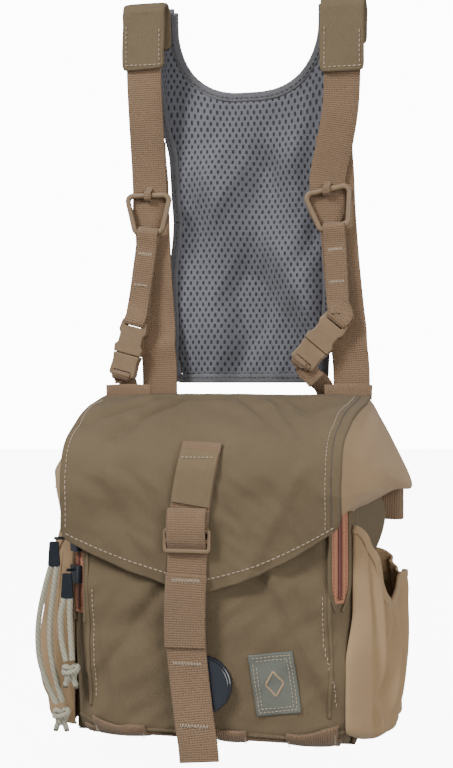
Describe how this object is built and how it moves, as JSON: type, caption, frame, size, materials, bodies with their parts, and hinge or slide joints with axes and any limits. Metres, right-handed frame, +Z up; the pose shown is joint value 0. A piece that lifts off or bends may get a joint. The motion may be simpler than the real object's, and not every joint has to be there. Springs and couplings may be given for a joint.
{
  "type": "binocular harness pack",
  "caption": "Chest pack for binoculars with a magnetic flap, stretch side pockets and a mesh shoulder harness with side-release buckles.",
  "frame": {"origin": "midway between the two shoulder pads, level with their folds, where the wearer's shoulders carry the harness", "axes": "+Z up, -Y the front of the pack, +X the viewer's right when the front is seen"},
  "size_m": [0.2406, 0.1302, 0.5],
  "materials": {
    "cordura": "olive-brown nylon pack cloth, matt",
    "lining_foam": "closed-cell foam",
    "stretch": "tan stretch-woven cloth",
    "webbing": "coyote-brown ribbed webbing",
    "mesh": "grey spacer mesh",
    "binding": "grey-brown edge tape",
    "hardware": "coyote-brown moulded acetal, satin",
    "zip_tape": "terracotta zip tape",
    "zip_coil": "dark red-brown coil",
    "gunmetal": "dark coated metal",
    "magnet": "dark glossy moulding over a magnet",
    "cord": "khaki braided cord",
    "patch": "grey-green woven label"
  },
  "bodies": {
    "harness": {"yoke_mesh": "mesh", "yoke_binding": "binding", "shoulder_pad_left": "cordura", "shoulder_pad_right": "cordura", "shoulder_webbing_left": "webbing", "shoulder_webbing_right": "webbing", "ring_keeper_left": "webbing", "ring_keeper_right": "webbing"},
    "pack": {"back_panel": "cordura", "back_foam": "lining_foam", "base_panel": "cordura", "base_foam": "lining_foam", "front_wall": "cordura", "rear_wall": "cordura", "side_wall_left": "cordura", "side_wall_right": "cordura", "front_pocket": "cordura", "zip_tape": "zip_tape", "zip_coil": "zip_coil", "side_pocket_left": "stretch", "side_pocket_right": "stretch", "side_pocket_rim_left": "webbing", "side_pocket_rim_right": "webbing", "anchor_loop_left": "webbing", "anchor_loop_right": "webbing", "side_loop_left": "webbing", "side_loop_right": "webbing", "base_webbing": "webbing", "label_patch": "patch", "magnet_base": "magnet"},
    "flap_body": {"flap": "cordura", "flap_wing_left": "stretch", "flap_wing_right": "stretch", "closure_strap_upper": "webbing"},
    "slider_body": {"strap_slider": "hardware"},
    "strap_tail": {"closure_strap_tail": "webbing", "magnet_cap": "magnet"},
    "zip_slide_a": {"zip_slider_upper": "gunmetal"},
    "zip_slide_b": {"zip_slider_lower": "gunmetal"},
    "pull_a": {"pull_tab_upper": "gunmetal", "pull_cord_upper_outer": "cord", "pull_cord_upper_inner": "cord", "pull_knot_upper": "cord"},
    "pull_b": {"pull_tab_lower": "gunmetal", "pull_cord_lower_outer": "cord", "pull_cord_lower_inner": "cord", "pull_knot_lower": "cord"},
    "ring_left": {"triangle_ring_left": "hardware", "buckle_strap_left": "webbing", "buckle_socket_left": "hardware"},
    "plug_left": {"buckle_plug_left": "hardware", "buckle_tab_left": "webbing"},
    "ring_right": {"triangle_ring_right": "hardware", "buckle_strap_right": "webbing", "buckle_socket_right": "hardware"},
    "plug_right": {"buckle_plug_right": "hardware", "buckle_tab_right": "webbing"}
  },
  "joints": [
    {"name": "pack_tilt", "type": "hinge", "parent": "harness", "child": "pack", "pos_m": [-0.0045, 0.004, -0.274], "axis": [-1, 0, 0], "range_deg": [0, 10]},
    {"name": "flap_hinge", "type": "hinge", "parent": "pack", "child": "flap_body", "pos_m": [-0.0045, -0.005, -0.273], "axis": [1, 0, 0], "range_deg": [-100, 0]},
    {"name": "closure_peel", "type": "hinge", "parent": "flap_body", "child": "strap_tail", "pos_m": [-0.014, -0.098, -0.395], "axis": [-1, 0, 0], "range_deg": [0, 90]},
    {"name": "slider_slide", "type": "slide", "parent": "flap_body", "child": "slider_body", "axis": [0, 0, 1], "range_m": [-0.012, 0.012]},
    {"name": "zip_slide_upper", "type": "slide", "parent": "pack", "child": "zip_slide_a", "axis": [0, 0, 1], "range_m": [0, 0.008]},
    {"name": "zip_slide_lower", "type": "slide", "parent": "pack", "child": "zip_slide_b", "axis": [0, 0, 1], "range_m": [-0.012, 0]},
    {"name": "pull_swing_upper", "type": "hinge", "parent": "zip_slide_a", "child": "pull_a", "pos_m": [-0.1038, -0.092, -0.363], "axis": [-1, 0, 0], "range_deg": [0, 60]},
    {"name": "pull_swing_lower", "type": "hinge", "parent": "zip_slide_b", "child": "pull_b", "pos_m": [-0.095, -0.092, -0.383], "axis": [-1, 0, 0], "range_deg": [0, 60]},
    {"name": "ring_swing_left", "type": "hinge", "parent": "harness", "child": "ring_left", "pos_m": [-0.069, 0.004, -0.133], "axis": [-1, 0, 0], "range_deg": [0, 25]},
    {"name": "buckle_release_left", "type": "slide", "parent": "ring_left", "child": "plug_left", "axis": [-0.2588, 0, -0.9659], "range_m": [0, 0.018]},
    {"name": "ring_swing_right", "type": "hinge", "parent": "harness", "child": "ring_right", "pos_m": [0.057, 0.004, -0.133], "axis": [-0.9816, 0, -0.1908], "range_deg": [0, 25]},
    {"name": "buckle_release_right", "type": "slide", "parent": "ring_right", "child": "plug_right", "axis": [-0.6428, 0, -0.766], "range_m": [0, 0.018]}
  ]
}
